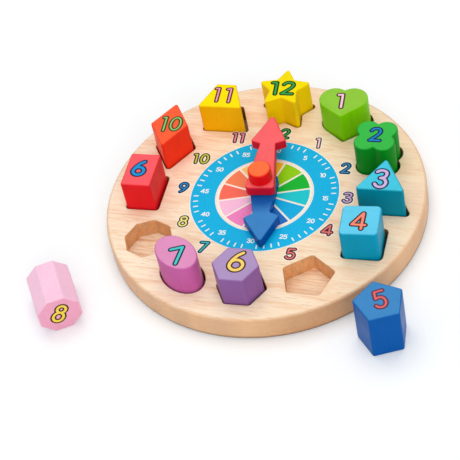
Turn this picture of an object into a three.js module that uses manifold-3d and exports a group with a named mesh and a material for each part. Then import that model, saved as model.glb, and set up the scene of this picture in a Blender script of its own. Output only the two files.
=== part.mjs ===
// A wooden clock shape sorter: a round board with twelve recesses, a number block of the same shape for
// each, and two hands that turn on a peg at the centre. Ten blocks sit in their recesses. The pentagon
// stands and the octagon lies beside the board.
// Millimetres, +Z up. The origin is the centre of the board's underside, and 12 o'clock lies along +Y.
import * as THREE from "three";
import { mergeVertices } from "three/addons/utils/BufferGeometryUtils.js";
import Module from "manifold-3d";

const wasm = await Module();
wasm.setup();

// Driving dimensions

const BOARD = {
  radius: 110,
  thickness: 19,
  topRounding: 3.2,
  footRounding: 1.8,
};

const RECESS = {
  depth: 13,
  clearance: 1.1, // on each side of its block
  cornerRadius: 2.4, // left by the cutter
  mouthChamfer: 0.5,
  circleRadius: 83.5, // of the ring of recess centres
};

const BLOCK = {
  height: 36,
  cornerRadius: 1.6,
  edgeRounding: 1.1,
  seatGap: 0.3, // between a block and what it rests on in its recess
};

const HEART = { lobeRadius: 10.5, lobeOffset: 6.5, lobeHeight: 1.5, tipDepth: 17 };
const QUATREFOIL = { lobeRadius: 7.9, lobeOffset: 6.1 };
const TRIANGLE = { cornerDistance: 19.5 };
const SQUARE = { side: 25.5, cornerRadius: 3.2 };
const PENTAGON = { cornerDistance: 17 };
const HEXAGON = { cornerDistance: 15.9 };
const ELLIPSE = { longRadius: 17.4, shortRadius: 11.7 };
const OCTAGON = { cornerDistance: 15.6 };
const RECTANGLE = { width: 21.3, height: 30.2 };
const RHOMBUS = { halfWidth: 13.7, halfHeight: 21.6 };
const TRAPEZOID = { frontWidth: 32.2, backWidth: 14, depth: 23.8 };
const STAR = { tipDistance: 20, waistDistance: 10.4 };

const HAND = {
  thickness: 7.5,
  edgeRounding: 1,
  runningGap: 0.5, // between each hand and its neighbours on the peg
  tailCornerRadius: 2.6,
  neckCornerRadius: 1,
  barbCornerRadius: 1.5,
  tipCornerRadius: 2,
  boreClearance: 0.3,
};
const MINUTE_TIP_GAP = 20.8; // from the minute hand's tip to the ring of recess centres
const MINUTE_HAND = {
  length: RECESS.circleRadius - MINUTE_TIP_GAP,
  tail: 8.9,
  tailHalfWidth: 10.2,
  neckHalfWidth: 5.6,
  neckReach: 33.7,
  barbHalfWidth: 12.6,
  barbReach: 36.4,
};
const HOUR_HAND = {
  length: 51,
  tail: 10.4,
  tailHalfWidth: 10.4,
  neckHalfWidth: 5.9,
  neckReach: 23.6,
  barbHalfWidth: 12.4,
  barbReach: 27.3,
};

const PEG = {
  shankRadius: 4,
  headRadius: 7.9,
  headHeight: 9.3,
  headTopRounding: 1.4,
  headFootRounding: 0.5,
  holeDepth: 12,
  holeClearance: 0.3,
};

// How far the pentagon and the octagon stand off the board's rim.
const STANDING_GAP = 11.4;
const LYING_GAP = 23.7;

// How far a facet may lie inside its curve, how close two points are one, and how far a cutter runs past
// the face that it cuts.
const FACET_SAG = 0.07;
const WELD_DISTANCE = 0.001;
const OVERRUN = 2;

// Clock angles in degrees, clockwise from 12, of the hands and of the blocks beside the board.
const MINUTE_HAND_ANGLE = -4.7;
const HOUR_HAND_ANGLE = 170;
const STANDING_ANGLE = 135.3;
const LYING_ANGLE = 231.5;
const STANDING_TURN = 23.1;
const LYING_TURN = 30.5;

const TURN = 2 * Math.PI;
const degrees = THREE.MathUtils.degToRad;

// Outlines. Each takes a margin, which is zero for a block and the clearance for its recess, and returns
// the points of a closed outline, counter-clockwise.

// Segments of a full circle that keep every chord within the facet sag.
function segments(radius) {
  const widest = 2 * Math.acos(1 - FACET_SAG / Math.max(radius, FACET_SAG));
  return Math.ceil(TURN / widest);
}

function arc(centre, radius, from, to) {
  const steps = Math.max(2, Math.ceil((segments(radius) * Math.abs(to - from)) / TURN));
  const clockwise = to < from;
  return new THREE.EllipseCurve(centre.x, centre.y, radius, radius, from, to, clockwise).getPoints(steps);
}

function outwardNormal(start, end) {
  const along = end.clone().sub(start).normalize();
  return new THREE.Vector2(along.y, -along.x);
}

// Corners moved out so that every edge lies one margin further from the middle.
function grow(corners, margin) {
  return corners.map((corner, i) => {
    const before = outwardNormal(corners.at(i - 1), corner);
    const after = outwardNormal(corner, corners[(i + 1) % corners.length]);
    const bisector = before.clone().add(after).normalize();
    return corner.clone().addScaledVector(bisector, margin / bisector.dot(before));
  });
}

// A polygon with each corner rounded by an arc. The radii are one value, or one for each corner.
function rounded(corners, radii) {
  return corners.flatMap((corner, i) => {
    const radius = Array.isArray(radii) ? radii[i] : radii;
    const back = corners.at(i - 1).clone().sub(corner).normalize();
    const ahead = corners[(i + 1) % corners.length].clone().sub(corner).normalize();
    const half = Math.acos(THREE.MathUtils.clamp(back.dot(ahead), -1, 1)) / 2;
    const towards = back.clone().add(ahead).normalize();
    const centre = corner.clone().addScaledVector(towards, radius / Math.sin(half));
    const convex = back.cross(ahead) < 0;
    const middle = towards.angle() + Math.PI;
    const sweep = Math.PI / 2 - half;
    return convex
      ? arc(centre, radius, middle - sweep, middle + sweep)
      : arc(centre, radius, middle + sweep, middle - sweep);
  });
}

function polygon(corners, margin, blockRadius = BLOCK.cornerRadius) {
  const radius = margin > 0 ? Math.max(RECESS.cornerRadius, blockRadius) : blockRadius;
  return rounded(grow(corners, margin), radius);
}

// Corners of a regular polygon, the first at the given angle from +X.
function regularCorners(count, distance, firstAngle) {
  return Array.from({ length: count }, (_, i) => {
    const angle = firstAngle + (i * TURN) / count;
    return new THREE.Vector2(distance * Math.cos(angle), distance * Math.sin(angle));
  });
}

// Corners of a shape with the same half widths left and right of the Y axis, listed from front to back.
function mirroredCorners(rightSide) {
  const right = rightSide.map(([x, y]) => new THREE.Vector2(x, y));
  const left = rightSide.toReversed().map(([x, y]) => new THREE.Vector2(-x, y));
  return [...right, ...left];
}

function heart(margin) {
  const { lobeRadius, lobeOffset, lobeHeight, tipDepth } = HEART;
  const rise = lobeHeight + tipDepth;
  const tipHalfAngle = Math.atan2(lobeOffset, rise) + Math.asin(lobeRadius / Math.hypot(lobeOffset, rise));
  const radius = lobeRadius + margin;
  const notch = Math.acos(lobeOffset / radius);
  const tip = -tipDepth - margin / Math.sin(tipHalfAngle);
  const tipCentre = new THREE.Vector2(0, tip + BLOCK.cornerRadius / Math.sin(tipHalfAngle));
  const rightLobe = new THREE.Vector2(lobeOffset, lobeHeight);
  const leftLobe = new THREE.Vector2(-lobeOffset, lobeHeight);
  return [
    ...arc(tipCentre, BLOCK.cornerRadius, Math.PI + tipHalfAngle, TURN - tipHalfAngle),
    ...arc(rightLobe, radius, -tipHalfAngle, Math.PI - notch).slice(0, -1),
    ...arc(leftLobe, radius, notch, Math.PI + tipHalfAngle),
  ];
}

function quatrefoil(margin) {
  const { lobeRadius, lobeOffset } = QUATREFOIL;
  const radius = lobeRadius + margin;
  const notch = Math.asin(lobeOffset / radius);
  return [0, 1, 2, 3].flatMap((quarter) => {
    const turned = (quarter * TURN) / 4;
    const centre = new THREE.Vector2(lobeOffset, lobeOffset).rotateAround(new THREE.Vector2(), turned);
    return arc(centre, radius, turned - notch, turned + TURN / 4 + notch).slice(0, -1);
  });
}

function ellipse(margin) {
  const [longRadius, shortRadius] = [ELLIPSE.longRadius + margin, ELLIPSE.shortRadius + margin];
  const whole = new THREE.EllipseCurve(0, 0, longRadius, shortRadius, 0, TURN);
  return whole.getPoints(segments(longRadius)).slice(0, -1);
}

const triangle = (margin) => polygon(regularCorners(3, TRIANGLE.cornerDistance, TURN / 4), margin);
const pentagon = (margin) => polygon(regularCorners(5, PENTAGON.cornerDistance, TURN / 4), margin);
const hexagon = (margin) => polygon(regularCorners(6, HEXAGON.cornerDistance, 0), margin);
const octagon = (margin) => polygon(regularCorners(8, OCTAGON.cornerDistance, TURN / 16), margin);

function square(margin) {
  const half = SQUARE.side / 2;
  return polygon(mirroredCorners([[half, -half], [half, half]]), margin, SQUARE.cornerRadius);
}

function rectangle(margin) {
  const [halfWidth, halfHeight] = [RECTANGLE.width / 2, RECTANGLE.height / 2];
  return polygon(mirroredCorners([[halfWidth, -halfHeight], [halfWidth, halfHeight]]), margin);
}

function rhombus(margin) {
  const { halfWidth, halfHeight } = RHOMBUS;
  const corners = [[0, -halfHeight], [halfWidth, 0], [0, halfHeight], [-halfWidth, 0]];
  return polygon(corners.map(([x, y]) => new THREE.Vector2(x, y)), margin);
}

function trapezoid(margin) {
  const { frontWidth, backWidth, depth } = TRAPEZOID;
  return polygon(mirroredCorners([[frontWidth / 2, -depth / 2], [backWidth / 2, depth / 2]]), margin);
}

function star(margin) {
  const tips = regularCorners(5, STAR.tipDistance, TURN / 4);
  const waists = regularCorners(5, STAR.waistDistance, TURN / 4 + TURN / 10);
  return polygon(tips.flatMap((tip, i) => [tip, waists[i]]), margin);
}

// The twelve shapes in clock order. Each has its colour, and its recess has a clock angle, a share of the
// recess circle's radius as its distance from the board's centre, and a turn about its own centre. A seated
// block has slid by shares of the clearance along X and Y, and may stand askew by a few degrees.
const BLOCKS = [
  {
    name: "block_1_heart", outline: heart, colour: 0x8ccb3e,
    clockAngle: 31.3, reachShare: 1.02, slidShares: [-0.45, -0.3], skew: 3,
  },
  {
    name: "block_2_quatrefoil", outline: quatrefoil, colour: 0x43b54c,
    clockAngle: 61.6, reachShare: 0.99, slidShares: [-0.4, -0.3],
  },
  {
    name: "block_3_triangle", outline: triangle, colour: 0x4fc8de,
    clockAngle: 90.7, reachShare: 1.005, slidShares: [-0.6, -0.35],
  },
  {
    name: "block_4_square", outline: square, colour: 0x5acdee,
    clockAngle: 116.5, reachShare: 1.016, slidShares: [-0.45, -0.4], skew: 3,
  },
  {
    name: "block_5_pentagon", outline: pentagon, colour: 0x2f7fc9,
    clockAngle: 147.5, reachShare: 0.98,
  },
  {
    name: "block_6_hexagon", outline: hexagon, colour: 0xaf8fcd,
    clockAngle: 178, reachShare: 0.983, slidShares: [-0.35, -0.6],
  },
  {
    name: "block_7_ellipse", outline: ellipse, colour: 0xe48cc3,
    clockAngle: 207.1, reachShare: 1.02, slidShares: [-0.2, -0.3], turn: -38,
  },
  {
    name: "block_8_octagon", outline: octagon, colour: 0xf3b0d3,
    clockAngle: 236.8, reachShare: 1.01, turn: 22.5,
  },
  {
    name: "block_9_rectangle", outline: rectangle, colour: 0xf5545c,
    clockAngle: 267, reachShare: 0.99, slidShares: [-0.4, -0.4],
  },
  {
    name: "block_10_rhombus", outline: rhombus, colour: 0xf4603c,
    clockAngle: 298.8, reachShare: 1.013, slidShares: [-0.15, -0.5],
  },
  {
    name: "block_11_trapezoid", outline: trapezoid, colour: 0xf8d616,
    clockAngle: 329.6, reachShare: 0.998, slidShares: [-0.5, -0.5],
  },
  {
    name: "block_12_star", outline: star, colour: 0xf9e21a,
    clockAngle: 359.3, reachShare: 0.99, slidShares: [0.2, -0.5], skew: 1.5,
  },
];

const WOOD = new THREE.MeshStandardMaterial({ color: 0xe9cba6, roughness: 0.55, metalness: 0 });
const paint = (colour) => new THREE.MeshStandardMaterial({ color: colour, roughness: 0.35, metalness: 0 });

// Solids for cutting

function toSolid(geometry) {
  const bare = geometry.index ? geometry.toNonIndexed() : geometry.clone();
  bare.deleteAttribute("normal");
  bare.deleteAttribute("uv");
  const merged = mergeVertices(bare, WELD_DISTANCE);
  const vertProperties = merged.attributes.position.array;
  const triVerts = new Uint32Array(merged.index.array);
  return new wasm.Manifold(new wasm.Mesh({ numProp: 3, vertProperties, triVerts }));
}

function toGeometry(solid) {
  const mesh = solid.getMesh();
  const geometry = new THREE.BufferGeometry();
  geometry.setAttribute("position", new THREE.BufferAttribute(mesh.vertProperties, mesh.numProp));
  geometry.setIndex(new THREE.BufferAttribute(mesh.triVerts, 1));
  geometry.computeVertexNormals();
  return geometry;
}

// Forms

// A point at a clock angle and distance from the board's centre.
function onClock(angle, distance) {
  return new THREE.Vector2(distance * Math.sin(degrees(angle)), distance * Math.cos(degrees(angle)));
}

// A plate of the given outline with quarter-round edges, standing on its own z = 0.
function roundedPlate(outline, height, edge, bore) {
  const shape = new THREE.Shape(outline);
  if (bore) shape.holes.push(new THREE.Path(arc(new THREE.Vector2(), bore, 0, TURN).slice(0, -1)));
  const geometry = new THREE.ExtrudeGeometry(shape, {
    depth: height - 2 * edge,
    bevelThickness: edge,
    bevelSize: edge,
    bevelOffset: -edge,
    bevelSegments: 2,
  });
  return geometry.translate(0, 0, edge);
}

// A straight cut of the recess, and a flare that chamfers its mouth.
function recessCutter(block) {
  const outline = new THREE.Shape(block.outline(RECESS.clearance));
  const floor = BOARD.thickness - RECESS.depth;
  const pocket = new THREE.ExtrudeGeometry(outline, { depth: RECESS.depth + OVERRUN, bevelEnabled: false });
  const mouth = new THREE.ExtrudeGeometry(outline, {
    depth: OVERRUN,
    bevelThickness: RECESS.mouthChamfer,
    bevelSize: RECESS.mouthChamfer,
    bevelSegments: 1,
  });
  const centre = onClock(block.clockAngle, RECESS.circleRadius * block.reachShare);
  const turn = degrees(block.turn ?? 0);
  pocket.rotateZ(turn).translate(centre.x, centre.y, floor);
  mouth.rotateZ(turn).translate(centre.x, centre.y, BOARD.thickness);
  return toSolid(pocket).add(toSolid(mouth));
}

// A half profile turned about Z. Its points run from the foot on the axis to the top on the axis.
function turned(profile, radius) {
  return new THREE.LatheGeometry(profile, segments(radius)).rotateX(Math.PI / 2);
}

function makeBoard() {
  const { radius, thickness, topRounding, footRounding } = BOARD;
  const profile = [
    new THREE.Vector2(0, 0),
    ...arc(new THREE.Vector2(radius - footRounding, footRounding), footRounding, -TURN / 4, 0),
    ...arc(new THREE.Vector2(radius - topRounding, thickness - topRounding), topRounding, 0, TURN / 4),
    new THREE.Vector2(0, thickness),
  ];
  const holeRadius = PEG.shankRadius + PEG.holeClearance;
  const holeLength = PEG.holeDepth + OVERRUN;
  const holeCutter = new THREE.CylinderGeometry(holeRadius, holeRadius, holeLength, segments(holeRadius));
  holeCutter.rotateX(Math.PI / 2).translate(0, 0, thickness - PEG.holeDepth + holeLength / 2);
  let solid = toSolid(turned(profile, radius)).subtract(toSolid(holeCutter));
  for (const block of BLOCKS) solid = solid.subtract(recessCutter(block));
  const board = new THREE.Mesh(toGeometry(solid), WOOD);
  board.name = "board";
  return board;
}

// The heights at which the pieces on the peg begin.
const hourHandFoot = BOARD.thickness + HAND.runningGap;
const minuteHandFoot = hourHandFoot + HAND.thickness + HAND.runningGap;
const pegHeadFoot = minuteHandFoot + HAND.thickness + HAND.runningGap;

// An arrow that points along +Y: a tapering shaft with a square tail, and a head with two barbs.
function makeHand(name, size, colour, foot, clockAngle) {
  const corners = mirroredCorners([
    [size.tailHalfWidth, -size.tail],
    [size.neckHalfWidth, size.neckReach],
    [size.barbHalfWidth, size.barbReach],
  ]);
  corners.splice(corners.length / 2, 0, new THREE.Vector2(0, size.length));
  const { tailCornerRadius, neckCornerRadius, barbCornerRadius, tipCornerRadius } = HAND;
  const side = [tailCornerRadius, neckCornerRadius, barbCornerRadius];
  const outline = rounded(corners, [...side, tipCornerRadius, ...side.toReversed()]);
  const bore = PEG.shankRadius + HAND.boreClearance;
  const plate = roundedPlate(outline, HAND.thickness, HAND.edgeRounding, bore);
  const hand = new THREE.Mesh(plate, paint(colour));
  hand.name = name;
  hand.position.z = foot;
  hand.rotation.z = -degrees(clockAngle);
  return hand;
}

// A glued dowel with a round head that keeps the hands on.
function makePeg() {
  const { shankRadius, headRadius, headHeight, headTopRounding, headFootRounding } = PEG;
  const foot = BOARD.thickness - PEG.holeDepth + PEG.holeClearance;
  const top = pegHeadFoot + headHeight;
  const headFoot = new THREE.Vector2(headRadius - headFootRounding, pegHeadFoot + headFootRounding);
  const headTop = new THREE.Vector2(headRadius - headTopRounding, top - headTopRounding);
  const profile = [
    new THREE.Vector2(0, foot),
    new THREE.Vector2(shankRadius, foot),
    new THREE.Vector2(shankRadius, pegHeadFoot),
    ...arc(headFoot, headFootRounding, -TURN / 4, 0),
    ...arc(headTop, headTopRounding, 0, TURN / 4),
    new THREE.Vector2(0, top),
  ];
  const peg = new THREE.Mesh(turned(profile, headRadius), paint(0xf0301c));
  peg.name = "centre_peg";
  return peg;
}

// A block in its own frame: its foot on z = 0, its number face up.
function makeBlock(block) {
  const geometry = roundedPlate(block.outline(0), BLOCK.height, BLOCK.edgeRounding);
  const mesh = new THREE.Mesh(geometry, paint(block.colour));
  mesh.name = block.name;
  return mesh;
}

// Slid against one side of its recess, as loose blocks lie.
function seatInRecess(mesh, block) {
  const centre = onClock(block.clockAngle, RECESS.circleRadius * block.reachShare);
  const [shareX, shareY] = block.slidShares;
  const slid = new THREE.Vector2(shareX, shareY).multiplyScalar(RECESS.clearance);
  const floor = BOARD.thickness - RECESS.depth;
  mesh.position.set(centre.x + slid.x, centre.y + slid.y, floor + BLOCK.seatGap);
  mesh.rotation.z = degrees((block.turn ?? 0) + (block.skew ?? 0));
  return mesh;
}

// Upright on the table in front of the board.
function standBesideBoard(mesh) {
  const spot = onClock(STANDING_ANGLE, BOARD.radius + STANDING_GAP + PENTAGON.cornerDistance);
  mesh.position.set(spot.x, spot.y, 0);
  mesh.rotation.z = degrees(STANDING_TURN);
  return mesh;
}

// On one of its flats, the number face towards the front.
function layBesideBoard(mesh) {
  const reach = Math.hypot(BLOCK.height / 2, OCTAGON.cornerDistance);
  const spot = onClock(LYING_ANGLE, BOARD.radius + LYING_GAP + reach);
  mesh.rotation.x = Math.PI / 2;
  mesh.position.set(0, BLOCK.height / 2, OCTAGON.cornerDistance * Math.cos(TURN / 16));
  const laid = new THREE.Group().add(mesh);
  laid.position.set(spot.x, spot.y, 0);
  laid.rotation.z = degrees(LYING_TURN);
  return laid;
}

function placeBlock(block) {
  const mesh = makeBlock(block);
  if (block.outline === pentagon) return standBesideBoard(mesh);
  if (block.outline === octagon) return layBesideBoard(mesh);
  return seatInRecess(mesh, block);
}

const clock = new THREE.Group();
clock.add(
  makeBoard(),
  makePeg(),
  makeHand("hour_hand", HOUR_HAND, 0x1f6fc0, hourHandFoot, HOUR_HAND_ANGLE),
  makeHand("minute_hand", MINUTE_HAND, 0xf04a62, minuteHandFoot, MINUTE_HAND_ANGLE),
  ...BLOCKS.map(placeBlock),
);

export default clock;
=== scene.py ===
"""A wooden clock shape sorter: a round board, twelve number blocks in its recesses, and two hands on a peg.

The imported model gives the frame. Each wooden piece is drawn again here with round edges, and the clock face
and the numerals are thin layers of ink that lie on the wood. Every piece stands where its node is.

Metres, +Z up. Angles in tables are in degrees. Clock angles run clockwise from twelve o'clock, along +Y.
"""

import math
from typing import NamedTuple

import bpy
import numpy as np
from bpy.props import FloatProperty, FloatVectorProperty, PointerProperty
from bpy.types import Operator, Panel, PropertyGroup
from mathutils import Matrix, Vector
from mathutils.geometry import delaunay_2d_cdt


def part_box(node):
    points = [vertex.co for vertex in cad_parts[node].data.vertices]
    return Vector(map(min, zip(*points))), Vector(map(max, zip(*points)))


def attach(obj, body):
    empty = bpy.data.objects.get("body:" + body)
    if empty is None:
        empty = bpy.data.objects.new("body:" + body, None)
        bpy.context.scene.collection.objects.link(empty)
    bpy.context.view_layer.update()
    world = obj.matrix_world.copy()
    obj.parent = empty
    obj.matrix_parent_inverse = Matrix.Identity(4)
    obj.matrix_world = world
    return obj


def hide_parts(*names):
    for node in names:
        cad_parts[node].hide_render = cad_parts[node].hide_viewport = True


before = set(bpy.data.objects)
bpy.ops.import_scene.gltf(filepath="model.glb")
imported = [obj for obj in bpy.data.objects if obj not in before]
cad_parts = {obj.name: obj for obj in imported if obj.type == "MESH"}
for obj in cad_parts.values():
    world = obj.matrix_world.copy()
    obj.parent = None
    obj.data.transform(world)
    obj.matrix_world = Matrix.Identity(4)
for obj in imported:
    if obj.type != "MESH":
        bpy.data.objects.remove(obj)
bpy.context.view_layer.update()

bl_info = {
    "name": "Clock Shape Sorter",
    "version": (1, 0, 0),
    "blender": (4, 5, 0),
    "location": "3D View > Sidebar > Shape Sorter",
    "description": "Draws a wooden clock shape sorter with its blocks, hands and printed face",
    "category": "Add Mesh",
}

MM = 0.001
TURN = 2 * math.pi
UP = np.array([0.0, 0.0, 1.0])

# The board and the blocks. Heights come from the frame, where the pentagon stands on the table.

BOARD_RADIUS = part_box("board")[1].x
BOARD_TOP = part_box("board")[1].z
BLOCK_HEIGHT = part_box("block_5_pentagon")[1].z

RECESS_FLOOR = BOARD_TOP - 13 * MM
RECESS_FILLET = 0.3 * MM
RECESS_CLEARANCE = 1.1 * MM
RECESS_CIRCLE_RADIUS = 83.5 * MM
CORNER_RADIUS = 1.6 * MM
SQUARE_CORNER_RADIUS = 3.2 * MM
CUTTER_RADIUS = 2.4 * MM
LOBE_HOLLOW = 0.9 * MM

# The peg, its hole and the bores of the hands

SHANK_RADIUS = 4 * MM
PEG_ROUNDING = 0.5 * MM
HEAD_TOP_ROUNDING = 1.4 * MM
HEAD_GAP = 0.5 * MM
PEG_HOLE_FLOOR = BOARD_TOP - 12 * MM
PEG_HOLE_MOUTH = 0.4 * MM
BORE_RADIUS = SHANK_RADIUS + 0.3 * MM
BORE_MOUTH = 0.3 * MM

# Corner radii of a hand, from its tail by its neck and barb to its tip and back

HAND_CORNER_RADII = np.array([2.6, 1, 1.5, 2, 1.5, 1, 2.6]) * MM

# The grain's tilt in degrees, and how far in front of the middle a joint of the glued strips lies

GRAIN_TILT = 3.5
JOINT_SHIFT = 11 * MM

# The two blocks beside the board: their turns in degrees, and the shade at the mouths of their recesses

LOOSE = ("pentagon", "octagon")
STANDING_TURN = 23.1
LYING_TURN = 30.5
OPEN_MOUTH_SHADE = 0.3
OPEN_MOUTH_DEPTH = 0.9

# Ink, in shares of its height: how far a layer stands above the one before, and how deep it is rooted

LAYER_STEP = 0.8
INK_DEPTH = 3

# The printed face. A gap between digits is a share of their height.

GROUND_INNER = 5 * MM
GROUND_MARGIN = 1 * MM
SECTOR_INNER = 5.5 * MM
TICK_HALF_LENGTH = 1.35 * MM
TICK_WIDTH = 0.9 * MM
LABEL_HEIGHT = 3.3 * MM
LABEL_GAP = 0.2
LABEL_WIDTH = 0.72 * MM
HOUR_HEIGHT = 8.2 * MM
HOUR_GAP = 0.4
HALO_WIDTH = 4.2 * MM
LINE_WIDTH = 3.1 * MM
FILL_WIDTH = 1.15 * MM

# The camera as fitted to the photograph, the place and size of each lamp, and half the floor's width

CAMERA_PLACE = (0.26662, -0.69623, 0.77389)
CAMERA_TURNS = ((23.129, "Z"), (43.652, "X"), (-13.349, "Z"))
SENSOR_WIDTH = 36
LAMPS = {"overhead": ((-0.3, 0.7, 2.8), 2.2), "fill": ((1.1, -2.2, 1.8), 2.8)}
FLOOR_REACH = 4

# How finely curves are drawn

ARC_STEP = math.radians(7.5)
EDGE_STEPS = 6
RIM_SEGMENTS = 288
HEAD_SEGMENTS = 96
ELLIPSE_SEGMENTS = 96
BORE_SEGMENTS = 64
OVAL_STEPS = 24
PEN_STEPS = 7
CURVE_STEPS = 6

# Triangulation: the kind of output that keeps what is inside, and how close points merge, for pens in mm

KEEP_INSIDE = 1
RING_MERGE = 1e-7
PEN_MERGE = 1e-4


def srgb(red, green, blue):
    """A colour given in screen values from 0 to 255, as the linear values that a shader takes."""
    value = np.array([red, green, blue]) / 255
    return tuple(np.where(value <= 0.04045, value / 12.92, ((value + 0.055) / 1.055) ** 2.4).tolist())


def colour(name, red, green, blue):
    """A colour property, its default given in screen values."""
    default = srgb(red, green, blue)
    description = f"Colour of the {name.lower()}"
    return FloatVectorProperty(
        name=name, description=description, default=default, size=3, min=0, max=1, subtype="COLOR"
    )


def length(name, description, millimetres):
    """A length property, its default given in millimetres."""
    default = millimetres * MM
    return FloatProperty(
        name=name, description=description, default=default, min=0, unit="LENGTH", subtype="DISTANCE"
    )


def power(name, description, watts):
    """A lamp's power property."""
    return FloatProperty(name=name, description=description, default=watts, min=0, unit="POWER")


# Outlines. An outline is a pair of arrays, its points and its outward normals, counter-clockwise.


def directions(angle):
    """Unit vectors at the angles from +X."""
    return np.stack([np.cos(angle), np.sin(angle)], axis=-1)


def tangent_outline(centres, radii):
    """An outline that runs straight from circle to circle, tangent to each.

    A positive radius is a round corner and a negative one a hollow. Between two circles the outward normal
    n has n . d = r1 - r2, where d runs from centre to centre. A circle's point is centre + radius * normal.
    """
    centres = np.asarray(centres, float)
    radii = np.asarray(radii, float)
    ahead = np.roll(centres, -1, axis=0) - centres
    reach = np.hypot(ahead[:, 0], ahead[:, 1])
    swing = np.arccos(np.clip((radii - np.roll(radii, -1)) / reach, -1, 1))
    leaving = np.arctan2(ahead[:, 1], ahead[:, 0]) - swing
    arriving = np.roll(leaving, 1)
    sweep = np.mod(leaving - arriving, TURN)
    sweep = np.where(radii < 0, sweep - TURN, sweep)
    counts = np.maximum(4, np.ceil(np.abs(sweep) / ARC_STEP).astype(int)) + 1
    circle = np.repeat(np.arange(len(radii)), counts)
    along = np.arange(counts.sum()) - np.repeat(np.cumsum(counts) - counts, counts)
    angle = arriving[circle] + sweep[circle] * along / (counts[circle] - 1)
    normals = directions(angle)
    return centres[circle] + radii[circle, None] * normals, normals


def corner_outline(corners, radii, margin=0.0):
    """A polygon moved out by the margin, its corners rounded.

    Each circle's centre is on the bisector b, at corner + b * (margin - radius) / (b . side normal).
    """
    corners = np.asarray(corners, float)
    radii = np.broadcast_to(np.asarray(radii, float), len(corners))
    along = np.roll(corners, -1, axis=0) - corners
    after = np.stack([along[:, 1], -along[:, 0]], axis=1) / np.hypot(*along.T)[:, None]
    before = np.roll(after, 1, axis=0)
    bisector = before + after
    bisector /= np.hypot(*bisector.T)[:, None]
    turning = before[:, 0] * after[:, 1] - before[:, 1] * after[:, 0]
    signed = radii * np.sign(turning)
    reach = (margin - signed) / np.sum(bisector * before, axis=1)
    return tangent_outline(corners + bisector * reach[:, None], signed)


def regular_corners(count, distance, first_angle):
    """Corners of a regular polygon, the first at an angle in degrees from +X."""
    return distance * directions(math.radians(first_angle) + np.arange(count) * TURN / count)


def mirrored_corners(right_side):
    """Corners listed from front to back on the right, then from back to front on the left."""
    right = np.asarray(right_side, float)
    return np.concatenate([right, right[::-1] * [-1, 1]])


def four_corners(front, back, depth):
    """Corners of a figure whose front and back are level and have the given widths."""
    return mirrored_corners([(front / 2, -depth / 2), (back / 2, depth / 2)])


def circle_outline(radius, count=RIM_SEGMENTS):
    """A circle about the origin."""
    normals = regular_corners(count, 1, 0)
    return radius * normals, normals


def heart(margin):
    """Two lobes, a tip and a small hollow between the lobes."""
    lobe = 10.5 * MM
    across = 6.5 * MM
    up = 1.5 * MM
    tip_depth = 17 * MM
    rise = up + tip_depth
    half_angle = math.atan2(across, rise) + math.asin(lobe / math.hypot(across, rise))
    tip_height = -tip_depth + (CORNER_RADIUS - margin) / math.sin(half_angle)
    hollow_height = up + math.sqrt((lobe + margin + LOBE_HOLLOW) ** 2 - across ** 2)
    centres = [(0, tip_height), (across, up), (0, hollow_height), (-across, up)]
    return tangent_outline(centres, [CORNER_RADIUS, lobe + margin, -LOBE_HOLLOW, lobe + margin])


def quatrefoil(margin):
    """Four lobes on a square, with a small hollow between neighbours."""
    lobe = 7.9 * MM + margin
    across = 6.1 * MM
    lobes = regular_corners(4, across * math.sqrt(2), 45)
    hollows = regular_corners(4, across + math.sqrt((lobe + LOBE_HOLLOW) ** 2 - across ** 2), 90)
    centres = np.stack([lobes, hollows], axis=1).reshape(-1, 2)
    return tangent_outline(centres, [lobe, -LOBE_HOLLOW] * 4)


def ellipse(margin):
    """The points (a cos t, b sin t), with normals along (b cos t, a sin t)."""
    long_radius = 17.4 * MM + margin
    short_radius = 11.7 * MM + margin
    circle, _ = circle_outline(1, ELLIPSE_SEGMENTS)
    normals = circle * [short_radius, long_radius]
    normals /= np.hypot(*normals.T)[:, None]
    return circle * [long_radius, short_radius], normals


CURVED = {"heart": heart, "quatrefoil": quatrefoil, "ellipse": ellipse}

# Corners of the other shapes. The star's tips and waists take turns.

STAR_TIPS = regular_corners(5, 20 * MM, 90)
STAR_WAISTS = regular_corners(5, 10.4 * MM, 126)
CORNERS = {
    "triangle": regular_corners(3, 19.5 * MM, 90),
    "square": four_corners(25.5 * MM, 25.5 * MM, 25.5 * MM),
    "pentagon": regular_corners(5, 17 * MM, 90),
    "hexagon": regular_corners(6, 15.9 * MM, 0),
    "octagon": regular_corners(8, 15.6 * MM, 22.5),
    "rectangle": four_corners(21.3 * MM, 21.3 * MM, 30.2 * MM),
    "rhombus": np.array([(0, -21.6), (13.7, 0), (0, 21.6), (-13.7, 0)]) * MM,
    "trapezoid": four_corners(32.2 * MM, 14 * MM, 23.8 * MM),
    "star": np.stack([STAR_TIPS, STAR_WAISTS], axis=1).reshape(-1, 2),
}


def block_outline(shape, margin=0.0):
    """A block's outline, or with a margin its recess's, whose corners the cutter left rounder."""
    if shape in CURVED:
        return CURVED[shape](margin)
    radius = CUTTER_RADIUS if margin else CORNER_RADIUS
    if shape == "square":
        radius = SQUARE_CORNER_RADIUS
    return corner_outline(CORNERS[shape], radius, margin)


def on_clock(angle, distance):
    """The point at a clock angle in degrees and a distance from the centre."""
    angle = math.radians(angle)
    return distance * math.sin(angle), distance * math.cos(angle)


def recess_outline(block):
    """The outline of a block's recess, at its place in the board."""
    points, normals = block_outline(block.shape, RECESS_CLEARANCE)
    rotation = turned(block.turn)[:2, :2]
    centre = on_clock(block.clock_angle, RECESS_CIRCLE_RADIUS * block.reach_share)
    return points @ rotation.T + centre, normals @ rotation.T


# The blocks, in clock order, and the hands


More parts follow.
